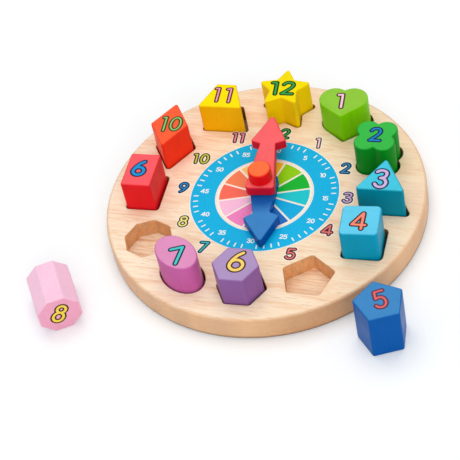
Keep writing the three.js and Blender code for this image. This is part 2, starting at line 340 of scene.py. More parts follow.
class Block(NamedTuple):
    """A block, its recess's clock angle and reach, its numeral's pen in millimetres, its turn and its skew.

    The recess takes the turn alone, so the skew is how far the block sits or stands askew of it.
    """

    name: str
    clock_angle: float
    reach_share: float
    pen: float
    turn: float = 0
    skew: float = 0

    @property
    def shape(self):
        return self.name.split("_")[-1]


BLOCKS = (
    Block("block_1_heart", 31.3, 1.02, 3.7, skew=3),
    Block("block_2_quatrefoil", 61.6, 0.99, 3.5),
    Block("block_3_triangle", 90.7, 1.005, 4.2),
    Block("block_4_square", 116.5, 1.016, 3.8, skew=3),
    Block("block_5_pentagon", 147.5, 0.98, 3.5, skew=STANDING_TURN),
    Block("block_6_hexagon", 178, 0.983, 4.2),
    Block("block_7_ellipse", 207.1, 1.02, 3.8, turn=-38),
    Block("block_8_octagon", 236.8, 1.01, 4.0, turn=22.5),
    Block("block_9_rectangle", 267, 0.99, 4.2),
    Block("block_10_rhombus", 298.8, 1.013, 3.2),
    Block("block_11_trapezoid", 329.6, 0.998, 3.3),
    Block("block_12_star", 359.3, 0.99, 3.6, skew=1.5),
)


class Hand(NamedTuple):
    """A hand, its clock angle, its tip's reach, and the half width and reach of its tail, neck and barbs.

    Round the peg its top is painted darker out to its last field, a painted shadow of the minute hand and the
    peg's head. Lengths are in millimetres.
    """

    name: str
    clock_angle: float
    tip: float
    tail: tuple
    neck: tuple
    barb: tuple
    deep_to: float = 0


HANDS = (
    Hand("hour_hand", 170, 51, (10.4, -10.4), (5.9, 23.6), (12.4, 27.3), deep_to=25),
    Hand("minute_hand", -4.7, 62.7, (10.2, -8.9), (5.6, 33.7), (12.6, 36.4)),
)

# Paints, of the top and of the sides. They are lit and shaded copies of each piece's one paint: painted sheen
# and painted shade.

BLOCK_LIT_AND_SHADED_PAINTS = {
    "heart": ((146, 204, 62), (128, 212, 0)),
    "quatrefoil": ((58, 188, 74), (0, 142, 32)),
    "triangle": ((70, 202, 228), (0, 140, 163)),
    "square": ((100, 207, 240), (0, 160, 198)),
    "pentagon": ((64, 137, 198), (0, 90, 172)),
    "hexagon": ((176, 149, 196), (142, 95, 160)),
    "ellipse": ((227, 147, 193), (202, 98, 168)),
    "octagon": ((248, 173, 200), (255, 206, 230)),
    "rectangle": ((254, 95, 102), (236, 28, 36)),
    "rhombus": ((254, 98, 58), (254, 56, 26)),
    "trapezoid": ((254, 230, 0), (254, 194, 0)),
    "star": ((250, 226, 0), (253, 212, 0)),
}

HAND_LIT_AND_SHADED_PAINTS = {
    "hour_hand": ((62, 134, 200), (0, 78, 162)),
    "minute_hand": ((254, 103, 107), (218, 22, 48)),
    "peg": ((254, 116, 65), (250, 14, 18)),
}

# Other tones of the wood: of some strips, pores and recess floors, and painted shade on the rim's right
# front, at its foot and in narrow gaps

STRIP_TONE = srgb(255, 216, 190)
PORE_TONE = srgb(170, 110, 70)
FLOOR_TONE = srgb(222, 164, 118)
PAINTED_RIM_SHADE_TONE = srgb(186, 116, 44)
PAINTED_FOOT_SHADE_TONE = srgb(84, 52, 28)
PAINTED_GAP_SHADE_TONE = srgb(96, 60, 30)

# The numeral on each block: the inks of its inside and its outline, and for each digit its box and turn

BLOCK_NUMERALS = {
    "heart": ((252, 205, 222), (78, 32, 41), ("1", -3.8, -7.9, -0.1, 4.7)),
    "quatrefoil": ((16, 130, 204), (4, 37, 74), ("2", -3.3, -4.9, 3.4, 6.4)),
    "triangle": ((206, 182, 226), (34, 26, 65), ("3", -4.0, -7.1, 3.2, 7.9)),
    "square": ((255, 138, 112), (66, 32, 33), ("4", -4.7, -7.7, 4.0, 5.7)),
    "pentagon": ((232, 100, 100), (92, 58, 82), ("5", -2.5, -5.6, 4.0, 7.5)),
    "hexagon": ((255, 214, 110), (70, 46, 22), ("6", -3.6, -5.2, 5.2, 9.6)),
    "ellipse": ((72, 204, 206), (0, 49, 59), ("7", -1.5, -9.5, 6.5, 3.4, 22)),
    "octagon": ((255, 222, 80), (38, 17, 8), ("8", -3.5, -5.9, 3.4, 7.9, -31)),
    "rectangle": ((24, 148, 214), (0, 34, 74), ("9", -4.8, -5.3, 2.8, 7.1, 180)),
    "rhombus": ((150, 208, 118), (54, 69, 12), ("1", -5.2, -6.8, -2.8, 6.4), ("0", 1.2, -5.6, 8.2, 6.5)),
    "trapezoid": ((246, 156, 186), (92, 32, 40), ("1", -6.2, -6.1, -3.4, 7.0), ("1", 2.2, -6.4, 5.5, 6.9)),
    "star": ((44, 164, 68), (1, 51, 16), ("1", -8.6, -7.1, -4.8, 4.6), ("2", -0.2, -6.3, 7.2, 5.2)),
}

# The numeral of each hour on the board: its middle in millimetres, and the same two inks

HOURS = (
    ((27.1, 51.8), (250, 215, 220), (94, 39, 47)),
    ((51.2, 29.1), (50, 140, 200), (8, 23, 51)),
    ((57.5, 1.8), (210, 176, 220), (56, 30, 72)),
    ((49.3, -28.2), (238, 120, 114), (80, 30, 34)),
    ((29.1, -51.2), (230, 120, 114), (92, 36, 44)),
    ((-0.5, -57.5), (245, 215, 90), (78, 55, 20)),
    ((-30.6, -50.6), (60, 190, 196), (3, 48, 58)),
    ((-50.4, -29), (248, 236, 136), (66, 60, 18)),
    ((-58.3, 2.1), (40, 136, 202), (8, 27, 55)),
    ((-52.8, 30.7), (200, 208, 78), (54, 60, 14)),
    ((-31, 53.1), (238, 146, 176), (81, 20, 37)),
    ((-0.5, 59.5), (54, 168, 78), (5, 50, 20)),
)

SECTOR_INKS = (
    (148, 214, 0), (8, 188, 48), (20, 205, 212), (0, 178, 232), (30, 112, 196), (150, 112, 196),
    (248, 136, 198), (255, 196, 226), (255, 112, 92), (255, 134, 90), (255, 208, 122), (252, 194, 30),
)

HALO_INK = (255, 250, 238)


# Properties


def add_paints(group, paints):
    """Gives a group the colours of each painted piece, one for its top and one for its sides, lit and shaded
    copies of one paint.
    """
    for name, (top, side) in paints.items():
        title = name.replace("_", " ").capitalize()
        group.__annotations__[name] = colour(f"{title} top", *top)
        group.__annotations__[f"{name}_side"] = colour(f"{title} sides", *side)


class BoardSizes(PropertyGroup):
    """Sizes and colours of the board."""

    top_rounding: length("Top rounding", "Radius of the board's upper edge", 2.2)
    foot_rounding: length("Foot rounding", "Radius of the board's lower edge", 1.8)
    mouth_rounding: length("Mouth rounding", "Radius of the edge round each recess", 0.6)
    strip_width: length("Strip width", "Width of the glued strips", 37)
    wood: colour("Light wood", 255, 237, 208)
    grain: colour("Grain lines", 235, 178, 128)
    peach: colour("Warm wood", 255, 218, 178)
    rim: colour("Sawn rim", 230, 175, 124)
    hollow: colour("Recess walls", 243, 167, 84)


class BlockSizes(PropertyGroup):
    """Sizes and paints of the twelve blocks."""

    edge_rounding: length("Edge rounding", "Radius of a block's upper and lower edges", 1.1)
    ink_line: length("Numeral outline", "Width of the dark line round a numeral", 1.05)


add_paints(BlockSizes, BLOCK_LIT_AND_SHADED_PAINTS)


class HandSizes(PropertyGroup):
    """Sizes and paints of the hands and the peg."""

    edge_rounding: length("Edge rounding", "Radius of a hand's edges", 1)


add_paints(HandSizes, HAND_LIT_AND_SHADED_PAINTS)


class PrintSizes(PropertyGroup):
    """Sizes and inks of the printed clock face."""

    ink_height: length("Ink height", "How far the ink stands above the wood", 0.05)
    ring_inner: length("Ring inner radius", "Inner radius of the minute ring", 34.0)
    ring_outer: length("Ring outer radius", "Outer radius of the minute ring", 51.2)
    ring_line: length("Ring line", "Width of the white line round the minute ring", 0.5)
    sector_reach: length("Sector reach", "Outer radius of the coloured sectors", 31.2)
    sector_gap: length("Sector gap", "Width of the bare wood between sectors", 1.4)
    label_reach: length("Label reach", "Distance of the minute labels from the centre", 42.4)
    tick_reach: length("Tick reach", "Distance of the middle of each tick from the centre", 47.6)
    ring: colour("Minute ring", 0, 184, 234)
    ground: colour("Ground between sectors", 255, 246, 230)
    white: colour("White ink", 250, 252, 250)


class StageSizes(PropertyGroup):
    """Camera and lamps."""

    lens: FloatProperty(
        name="Lens", description="Focal length", default=121.94, min=1, subtype="DISTANCE_CAMERA"
    )
    overhead: power("Overhead lamp", "Power of the broad lamp behind and to the left", 30.5)
    fill: power("Fill lamp", "Power of the broad lamp in front and to the right", 36)
    ambient: FloatProperty(
        name="Ambient light", description="Strength of the light from all round", default=0.55, min=0
    )


PROPERTY_GROUPS = {
    "sorter_board": BoardSizes,
    "sorter_blocks": BlockSizes,
    "sorter_hands": HandSizes,
    "sorter_print": PrintSizes,
    "sorter_stage": StageSizes,
}


# Shells


class Shell:
    """Points, normals, faces and shares of one piece, gathered wall by wall and flat by flat."""

    def __init__(self):
        self.points = []
        self.normals = []
        self.shares = []
        self.faces = []
        self.size = 0

    def add_wall(self, outline, profile, side=1):
        """An outline carried up a profile of outward offsets, heights and tilts of the surface.

        A point is outline + offset * normal at the height, and its surface normal is cos(tilt) * normal
        + sin(tilt) * up. Side is -1 for a hollow, whose surface faces the outline's middle. A point's share
        of the wall is cos(tilt), so it fades out round an edge. Returns the first and the last row.
        """
        line, normals = outline
        offset, height, tilt = profile[:, :, None, None]
        flat = line + offset * normals
        ones = np.ones(flat.shape[:2] + (1,))
        facing = np.concatenate([side * np.cos(tilt) * normals, np.sin(tilt) * ones], axis=2)
        self.points.append(np.concatenate([flat, height * ones], axis=2).reshape(-1, 3))
        self.normals.append(facing.reshape(-1, 3))
        self.shares.append(np.abs(np.cos(tilt) * ones).ravel())
        index = self.size + np.arange(ones.size).reshape(flat.shape[:2])
        following = np.roll(index, -1, axis=1)
        quads = np.stack([index[:-1], following[:-1], following[1:], index[1:]], axis=-1)
        self.faces += quads.reshape(-1, 4).tolist()
        self.size += ones.size
        return index[0], index[-1]

    def add_flat(self, rim, holes=(), up=True):
        """A level face inside a rim and outside its holes, on points that are already there."""
        if holes:
            triangles = between_rings(np.concatenate(self.points)[:, :2], [rim, *holes])
            self.faces += (triangles if up else triangles[:, ::-1]).tolist()
        else:
            self.faces.append((rim if up else rim[::-1]).tolist())

    def add_hollow(self, outline, profile):
        """The wall and the floor of a blind hollow. Returns the points of its mouth."""
        mouth, bottom = self.add_wall(outline, profile, side=-1)
        self.add_flat(bottom)
        return mouth

    def arrays(self):
        return np.concatenate(self.points), np.concatenate(self.normals), np.concatenate(self.shares)


def triangulated(points, loops, merge):
    """The inside of closed loops of points, in triangles."""
    return delaunay_2d_cdt([Vector(point) for point in points.tolist()], [], loops, KEEP_INSIDE, merge)


def between_rings(plane, rings):
    """Triangles inside the first ring and outside the others, as indices into the plane's points."""
    order = np.concatenate(rings)
    starts = np.cumsum([0] + [len(ring) for ring in rings])
    loops = [list(range(start, end)) for start, end in zip(starts[:-1], starts[1:])]
    points, _, faces, origins, _, inside = triangulated(plane[order], loops, RING_MERGE)
    kept = np.array([face for face, loop in zip(faces, inside) if loop == [0]])
    source = np.array([origin[0] for origin in origins])
    return counter_clockwise(np.array(points), order[source[kept]], kept)


def counter_clockwise(points, triangles, corners=None):
    """The triangles, turned over where their corners run clockwise."""
    a, b, c = (points[(triangles if corners is None else corners)[:, i]] for i in range(3))
    area = (b[:, 0] - a[:, 0]) * (c[:, 1] - a[:, 1]) - (b[:, 1] - a[:, 1]) * (c[:, 0] - a[:, 0])
    return np.where((area < 0)[:, None], triangles[:, ::-1], triangles)


def quarter_round(radius, level, start, end, up=1):
    """Offsets radius * (cos t - 1), heights level + up * |radius| * sin t and tilts t, given in degrees.

    The radius is negative for a mouth, which opens outwards.
    """
    tilt = np.radians(np.linspace(start, end, EDGE_STEPS))
    return radius * (np.cos(tilt) - 1), level + up * abs(radius) * np.sin(tilt), tilt


def profile_of(*arcs):
    """A profile of quarter rounds, with straight walls between them."""
    return np.concatenate([quarter_round(*arc) for arc in arcs], axis=1)


def rounded_profile(height, foot, top):
    """Up the side of a plate: a quarter round, the wall and a quarter round."""
    return profile_of((foot, foot, -90, 0), (top, height - top, 0, 90))


def hollow_profile(top, floor, mouth, fillet):
    """Down the side of a hollow: the rounded mouth, the wall and a fillet above the floor."""
    return profile_of((-mouth, top - mouth, 90, 0), (fillet, floor + fillet, 0, 90, -1))


def bore_profile(height, mouth):
    """Down a hole that goes right through: a rounded mouth, the wall and a rounded mouth."""
    return profile_of((-mouth, height - mouth, 90, 0), (-mouth, mouth, 0, -90))


def plate(outline, height, edge, bore=None):
    """A plate of an outline with rounded edges, its foot at z = 0, bored through if a bore is given."""
    shell = Shell()
    foot, top = shell.add_wall(outline, rounded_profile(height, edge, edge))
    holes_above, holes_below = [], []
    if bore is not None:
        mouth, end = shell.add_wall(bore, bore_profile(height, BORE_MOUTH), side=-1)
        holes_above, holes_below = [mouth], [end]
    shell.add_flat(foot, holes_below, up=False)
    shell.add_flat(top, holes_above)
    return shell


# Pieces


def make_mesh(name, points, faces, normals=None):
    """A mesh object with flat faces, or where normals are given with smooth ones that take just these."""
    mesh = bpy.data.meshes.new(name)
    mesh.from_pydata(points.tolist(), [], faces)
    mesh.polygons.foreach_set("use_smooth", np.full(len(mesh.polygons), normals is not None))
    if normals is not None:
        mesh.normals_split_custom_set_from_vertices(normals.tolist())
    mesh.validate()
    piece = bpy.data.objects.new(name, mesh)
    bpy.context.scene.collection.objects.link(piece)
    return piece


def set_attribute(piece, name, values, kind="FLOAT", domain="POINT"):
    """Stores one value, or one colour, for each point or face."""
    attribute = piece.data.attributes.new(name, kind, domain)
    field = "color" if kind == "FLOAT_COLOR" else "value"
    attribute.data.foreach_set(field, np.ascontiguousarray(values, np.float32).ravel())


def turned(angle, axis="Z"):
    """The rotation by an angle in degrees, as an array."""
    return np.array(Matrix.Rotation(math.radians(angle), 3, axis))


def shift_to_node(points, node):
    """The move that puts the middle of the points' box on the middle of the node's box."""
    low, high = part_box(node)
    return (np.array(low) + np.array(high) - points.min(axis=0) - points.max(axis=0)) / 2


def stand_in(node, mesh_parts, shares, material, body=None):
    """Makes the piece that stands for a node, on the node's own body unless another is given."""
    piece = make_mesh(f"{node}_piece", *mesh_parts)
    for name, values in shares.items():
        set_attribute(piece, name, values)
    piece.data.materials.append(material)
    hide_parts(node)
    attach(piece, body or node)


def replace_node(node, shell, rotation, material, body=None):
    """Turns the shell, sets it where its node is, and makes it stand for the node."""
    points, normals, shares = shell.arrays()
    points = points @ rotation.T
    placed = points + shift_to_node(points, node)
    # Each point's share of the walls picks the shaded copy of the paint there: painted shade on the sides
    stand_in(node, (placed, shell.faces, normals @ rotation.T), {"side": shares}, material, body)


# Numerals, drawn with a round pen in a box that runs from (0, 0) to (1, 1)


def line(*points):
    """A stroke with corners."""
    return np.array(points, float)


def curve(*points):
    """A smooth stroke through its points, with a cubic on each span.

    With p0 to p3 the points about a span and t from 0 to 1 along it, the stroke is half of
    2 p1 + (p2 - p0) t + (2 p0 - 5 p1 + 4 p2 - p3) t^2 + (3 p1 - p0 - 3 p2 + p3) t^3.
    """
    p = np.array(points, float)
    p = np.concatenate([[2 * p[0] - p[1]], p, [2 * p[-1] - p[-2]]])
    p0, p1, p2, p3 = (p[i:len(p) - 3 + i, None] for i in range(4))
    t = (np.arange(CURVE_STEPS) / CURVE_STEPS)[None, :, None]
    cubic = 2 * p1 + (p2 - p0) * t + (2 * p0 - 5 * p1 + 4 * p2 - p3) * t ** 2
    cubic = (cubic + (3 * p1 - p0 - 3 * p2 + p3) * t ** 3) / 2
    return np.concatenate([cubic.reshape(-1, 2), p[-2:-1]])


def oval(middle, radii, start=90):
    """A closed stroke round an ellipse, from an angle in degrees."""
    angle = np.radians(np.linspace(start, start + 360, OVAL_STEPS + 1))
    return np.asarray(middle) + np.asarray(radii) * directions(angle)


SIX = (curve((0.8, 1), (0.45, 0.83), (0.14, 0.56), (0, 0.29)), oval((0.5, 0.29), (0.5, 0.29), 180))

DIGITS = {
    "0": (oval((0.5, 0.5), (0.5, 0.5)),),
    "1": (line((0, 0.97), (0.78, 1), (1, 0)),),
    "2": (
        curve(
            (0, 0.8), (0.18, 0.95), (0.5, 1), (0.82, 0.93), (0.93, 0.74), (0.78, 0.52), (0.4, 0.25), (0, 0)
        ),
        line((0, 0), (1, 0)),
    ),
    "3": (
        curve((0.02, 0.9), (0.25, 0.98), (0.52, 1), (0.85, 0.92), (0.93, 0.76), (0.78, 0.6), (0.42, 0.54)),
        curve((0.42, 0.54), (0.8, 0.48), (1, 0.27), (0.86, 0.07), (0.52, 0), (0.2, 0.05), (0, 0.18)),
    ),
    "4": (line((0.7, 1), (0, 0.25), (1, 0.25)), line((0.72, 1), (0.75, 0))),
    "5": (
        line((0.95, 1), (0.16, 0.98), (0.12, 0.56)),
        curve(
            (0.12, 0.56), (0.45, 0.62), (0.84, 0.54), (1, 0.3), (0.84, 0.07), (0.48, 0), (0.15, 0.05),
            (0, 0.15),
        ),
    ),
    "6": SIX,
    "7": (line((0, 1), (1, 1), (0.17, 0)),),
    "8": (oval((0.5, 0.285), (0.5, 0.285)), oval((0.5, 0.785), (0.42, 0.215))),
    "9": tuple(1 - stroke for stroke in SIX),
}

DIGIT_WIDTHS = {"1": 0.25, "4": 0.77}
OTHER_WIDTH = 0.6


def digit_strokes(digit, left, bottom, right, top, turn=0.0):
    """The strokes of a digit in its box, turned about the box's middle by an angle in degrees.

    The middle line of the strokes fills the box.
    """
    middle = np.array([left + right, bottom + top]) / 2
    size = np.array([right - left, top - bottom])
    rotation = turned(turn)[:2, :2]
    return [(((stroke - 0.5) * size) @ rotation.T) + middle for stroke in DIGITS[digit]]


def word_strokes(text, middle, height, gap_share):
    """The strokes of a number set about its middle, the height being that of the middle line."""
    widths = np.array([DIGIT_WIDTHS.get(digit, OTHER_WIDTH) for digit in text]) * height
    gap = gap_share * height
    total = widths.sum() + gap * (len(text) - 1)
    lefts = middle[0] - total / 2 + np.cumsum(widths + gap) - widths - gap
    bottom = middle[1] - height / 2
    return [
        stroke
        for digit, left, width in zip(text, lefts, widths)
        for stroke in digit_strokes(digit, left, bottom, left + width, bottom + height)
    ]


def pen_area(strokes, width):
    """Points and triangles of the area that a round pen covers along the strokes.

    Each step of a stroke from a to b gives one capsule: a half circle about b, from a right angle clockwise
    of the step to one counter-clockwise, and a half circle about a. Their union is cut in triangles.
    """
    starts = np.concatenate([stroke[:-1] for stroke in strokes])
    ends = np.concatenate([stroke[1:] for stroke in strokes])
    heading = np.arctan2(*(ends - starts).T[::-1])
    half = np.linspace(-TURN / 4, TURN / 4, PEN_STEPS)
    angle = heading[:, None] + np.concatenate([half, half + TURN / 2])
    centres = np.repeat(np.stack([ends, starts], axis=1), PEN_STEPS, axis=1)
    ring = centres + width / 2 * directions(angle)
    count = 2 * PEN_STEPS
    loops = np.arange(len(starts) * count).reshape(-1, count).tolist()
    points, _, faces, _, _, inside = triangulated(ring.reshape(-1, 2) / MM, loops, PEN_MERGE)
    plane = np.array(points) * MM
    triangles = np.array([face for face, loop in zip(faces, inside) if loop])
    return plane, counter_clockwise(plane, triangles)


def ink_piece(name, area, layer, place, body, material, face_colours=None):
    """A layer of ink on a flat, thickened downwards so that it is rooted in the wood.

    The area lies in the plane z = 0 of the place, a rotation and a shift. Layers lie one above the other.
    """
    points, faces = area
    ink_height = bpy.context.scene.sorter_print.ink_height
    rotation, shift = place
    raised = np.column_stack([points, np.full(len(points), ink_height * (1 + LAYER_STEP * layer))])
    piece = make_mesh(name, raised @ rotation.T + shift, faces)
    if face_colours is not None:
        set_attribute(piece, "ink", face_colours, "FLOAT_COLOR", "FACE")
    thickness = piece.modifiers.new("Thickness", "SOLIDIFY")
    thickness.thickness = INK_DEPTH * ink_height
    thickness.offset = -1
    piece.data.materials.append(material)
    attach(piece, body)


def print_numeral(name, strokes, layers, place, body):
    """Prints the layers of a numeral, the lowest first: the name, the pen's width and the ink of each."""
    for layer, (part, width, rgb) in enumerate(layers):
        material = ink_material(f"{name}_{part}_ink", srgb(*rgb))
        ink_piece(f"{name}_{part}", pen_area(strokes, width), layer, place, body, material)


# Materials


class Nodes:
    """A small helper that adds and links the nodes of one material."""

    def __init__(self, name):
        self.material = bpy.data.materials.new(name)
        self.material.use_nodes = True
        self.tree = self.material.node_tree
        self.tree.nodes.clear()
        self.surface = self.add("ShaderNodeBsdfPrincipled")
        output = self.add("ShaderNodeOutputMaterial")
        self.link(self.surface.outputs["BSDF"], output.inputs["Surface"])

    def add(self, kind, **settings):
        node = self.tree.nodes.new(kind)
        for name, value in settings.items():
            setattr(node, name, value)
        return node

    def link(self, source, target):
        self.tree.links.new(source, target)

    def connect(self, target, value):
        """Links a node's output, or sets a plain value."""
        if isinstance(value, bpy.types.NodeSocket):
            self.link(value, target)
        elif value is not None:
            target.default_value = value

    def mapped(self, vector, scale, turn=0.0):
        """A place, turned about Z by an angle in degrees and scaled."""
        mapping = self.add("ShaderNodeMapping")
        mapping.inputs["Scale"].default_value = scale
        mapping.inputs["Rotation"].default_value = (0, 0, math.radians(turn))
        self.link(vector, mapping.inputs["Vector"])
        return mapping.outputs["Vector"]

    def object_place(self, scale=(1, 1, 1), turn=0.0):
        return self.mapped(self.add("ShaderNodeTexCoord").outputs["Object"], scale, turn)

    def distance(self, place):
        """How far a place is from the origin."""
        node = self.add("ShaderNodeVectorMath", operation="LENGTH")
        self.link(place, node.inputs[0])
        return node.outputs["Value"]

    def noise(self, vector, scale=1, **settings):
        """Noise at a place, with the node's own detail, roughness and distortion where none is given."""
        node = self.add("ShaderNodeTexNoise")
        self.link(vector, node.inputs["Vector"])
        for name, value in {"scale": scale, **settings}.items():
            node.inputs[name.capitalize()].default_value = value
        return node.outputs["Fac"]

    def math(self, operation, first, second=None, third=None):
        node = self.add("ShaderNodeMath", operation=operation)
        for socket, value in zip(node.inputs, (first, second, third)):
            self.connect(socket, value)
        return node.outputs[0]

    def times(self, first, second):
        return self.math("MULTIPLY", first, second)

    def spread(self, value, low, high, to_low=0.0, to_high=1.0):
        """Maps low to high onto another range, and holds it inside."""
        node = self.add("ShaderNodeMapRange")
        for socket, number in zip(node.inputs[:5], (value, low, high, to_low, to_high)):
            self.connect(socket, number)
        return node.outputs[0]

    def mix(self, factor, first, second, blend="MIX"):
        """A mix of two colours."""
        node = self.add("ShaderNodeMix", data_type="RGBA", blend_type=blend)
        self.connect(node.inputs[0], factor)
        for socket, value in ((node.inputs[6], first), (node.inputs[7], second)):
            self.connect(socket, value if isinstance(value, bpy.types.NodeSocket) else (*value, 1))
        return node.outputs[2]

    def attribute(self, name, output="Fac"):
        return self.add("ShaderNodeAttribute", attribute_name=name).outputs[output]

    def finish(self, base, roughness, bump=None, strength=0.0, distance=0.0):
        """Sets the surface's colour, roughness and bump, and returns the material."""
        self.connect(self.surface.inputs["Base Color"], base)
        self.connect(self.surface.inputs["Roughness"], roughness)
        if bump is not None:
            node = self.add("ShaderNodeBump")
            node.inputs["Strength"].default_value = strength
            node.inputs["Distance"].default_value = distance
            self.link(bump, node.inputs["Height"])
            self.link(node.outputs["Normal"], self.surface.inputs["Normal"])
        return self.material


def shade(rgb, share):
    """A colour made darker, or lighter, by a share."""
    return tuple(min(1.0, value * share) for value in rgb)


def wood_material(sizes):
    """Pale wood of glued strips, each with a grain of its own along X, and short pores.

    The floors of the recesses are routed, and their walls are darker. The sawn rim has painted shade towards
    its right front and a painted dark line at its foot, and the recesses that hold blocks take painted shade.
    The grain runs a few degrees off X.
    """
    n = Nodes("pale_wood")
    parts = n.add("ShaderNodeSeparateXYZ")
    n.link(n.object_place(turn=GRAIN_TILT), parts.inputs[0])
    x, y, z = parts.outputs
    strip = n.math("FLOOR", n.math("DIVIDE", n.math("ADD", y, JOINT_SHIFT), sizes.strip_width))
    dice = n.add("ShaderNodeTexWhiteNoise", noise_dimensions="1D")
    n.link(strip, dice.inputs["W"])
    chance = dice.outputs["Value"]
    joined = n.add("ShaderNodeCombineXYZ")
    for socket, value in zip(joined.inputs, (n.math("MULTIPLY_ADD", chance, 3.0, x), y, z)):
        n.link(value, socket)
    slid = joined.outputs[0]
    broad = n.noise(n.mapped(slid, (9, 90, 60)), detail=3, roughness=0.6, distortion=0.6)
    fine = n.noise(n.mapped(slid, (48, 560, 400)), detail=4, roughness=0.7, distortion=0.5)
    pores = n.noise(n.mapped(slid, (95, 1500, 900)), detail=1)
    figure = n.noise(n.mapped(slid, (16, 42, 40)), detail=3, distortion=1.6)

    lines = n.math("ADD", n.times(broad, 0.4), n.times(fine, 0.6))
    grained = n.mix(n.spread(lines, 0.47, 0.68), sizes.wood, sizes.grain)
    figured = n.mix(n.spread(figure, 0.5, 0.7, 0, 0.35), grained, sizes.grain)
    warm = n.mix(n.spread(x, -80 * MM, 100 * MM, 0, 0.5), figured, sizes.peach)
    toned = n.mix(n.spread(chance, 0, 1, 0, 0.35), warm, STRIP_TONE)
    pored = n.mix(n.spread(pores, 0.66, 0.76, 0, 0.45), toned, PORE_TONE)

    floor = n.spread(z, RECESS_FLOOR + 0.2 * MM, RECESS_FLOOR + 1 * MM, 1, 0)
    floored = n.mix(n.times(floor, n.spread(lines, 0.47, 0.62, 0, 0.42)), pored, FLOOR_TONE)

    bands = n.noise(n.object_place((60, 60, 3)), detail=2)
    sawn = n.mix(n.spread(bands, 0.35, 0.65), sizes.rim, shade(sizes.rim, 0.86))
    # Painted shade on the rim towards its right front
    painted_rim_shade = n.times(n.spread(x, 20 * MM, 55 * MM, 0, 0.7), n.spread(x, 70 * MM, 95 * MM, 1, 0))
    ends = n.mix(painted_rim_shade, sawn, PAINTED_RIM_SHADE_TONE)
    on_rim = n.attribute("rim")
    rimmed = n.mix(n.times(on_rim, 0.8), floored, ends)
    # Painted shade: a dark line at the rim's foot, where the board meets the table
    foot_shaded = n.mix(n.times(on_rim, n.spread(z, 1 * MM, 3.2 * MM, 0.9, 0)), rimmed, PAINTED_FOOT_SHADE_TONE)

    cuts = n.noise(n.object_place((300, 300, 170)), detail=3, roughness=0.7)
    walls = n.mix(n.spread(cuts, 0.34, 0.7), sizes.hollow, shade(sizes.hollow, 0.56))
    hollowed = n.mix(n.times(n.attribute("hollow"), 0.75), foot_shaded, walls)
    # Painted shade in the recesses that hold blocks, and in a band at the mouths of the open ones
    shaded = n.mix(n.times(n.attribute("shaded"), 0.6), hollowed, PAINTED_GAP_SHADE_TONE)
    return n.finish(shaded, n.spread(fine, 0.3, 0.7, 0.42, 0.56), fine, 0.25, 0.05 * MM)


def paint_material(sizes, name, grain=(260, 260, 40), deep_to=0.0):
    """Satin paint, a lit copy on the top and a shaded copy on the sides: painted sheen and painted shade.
    The wood's grain shows faintly, and the gloss varies a little.

    With the last argument given, the top takes on the sides' deeper colour from the Z axis out to that
    distance: a painted shadow round the peg.
    """
    top, side = getattr(sizes, name), getattr(sizes, f"{name}_side")
    n = Nodes(f"{name}_paint")
    cloud = n.noise(n.object_place(), scale=70, detail=2)
    fibre = n.noise(n.object_place(grain), detail=3, roughness=0.6)
    painted_shade_share = n.attribute("side")
    # Painted shadow of the minute hand and the peg's head, deepest round the peg
    if deep_to:
        centre = n.spread(n.distance(n.object_place((1, 1, 0))), 0.6 * deep_to, deep_to, 0.85, 0)
        painted_shade_share = n.math("MAXIMUM", painted_shade_share, centre)
    # Painted sheen and painted shade: the sides take the shaded copy of the paint, the top the lit one
    paint = n.mix(painted_shade_share, top, side)
    deep = n.mix(painted_shade_share, shade(top, 0.8), shade(side, 0.8))
    flecked = n.math("ADD", n.spread(cloud, 0.35, 0.65, 0, 0.2), n.spread(fibre, 0.5, 0.75, 0, 0.3))
    n.surface.inputs["Specular IOR Level"].default_value = 0.06
    base = n.mix(flecked, paint, deep)
    return n.finish(base, n.spread(cloud, 0.3, 0.7, 0.3, 0.4), fibre, 0.12, 0.05 * MM)


def ink_material(name, rgb=None):
    """Flat printed ink, a little uneven. With no colour given, each face has its own."""
    n = Nodes(name)
    speckle = n.noise(n.object_place(), scale=900, detail=2)
    ink = n.attribute("ink", "Color") if rgb is None else rgb
    base = n.mix(n.spread(speckle, 0.4, 0.75), ink, n.mix(1, ink, (0.9, 0.9, 0.9), "MULTIPLY"))
    n.surface.inputs["Specular IOR Level"].default_value = 0.15
    return n.finish(base, n.spread(speckle, 0.3, 0.7, 0.42, 0.55), speckle, 0.1, 0.02 * MM)


# Operators


def block_shell(block, sizes):
    """A block that stands at the origin."""
    return plate(block_outline(block.shape), BLOCK_HEIGHT, sizes.edge_rounding)


def block_rotation(block):
    """How a block is turned: lying on a flat, standing on the table, or seated in its recess."""
    if block.shape == "octagon":
        return turned(LYING_TURN) @ turned(90, "X")
    return turned(block.turn + block.skew)


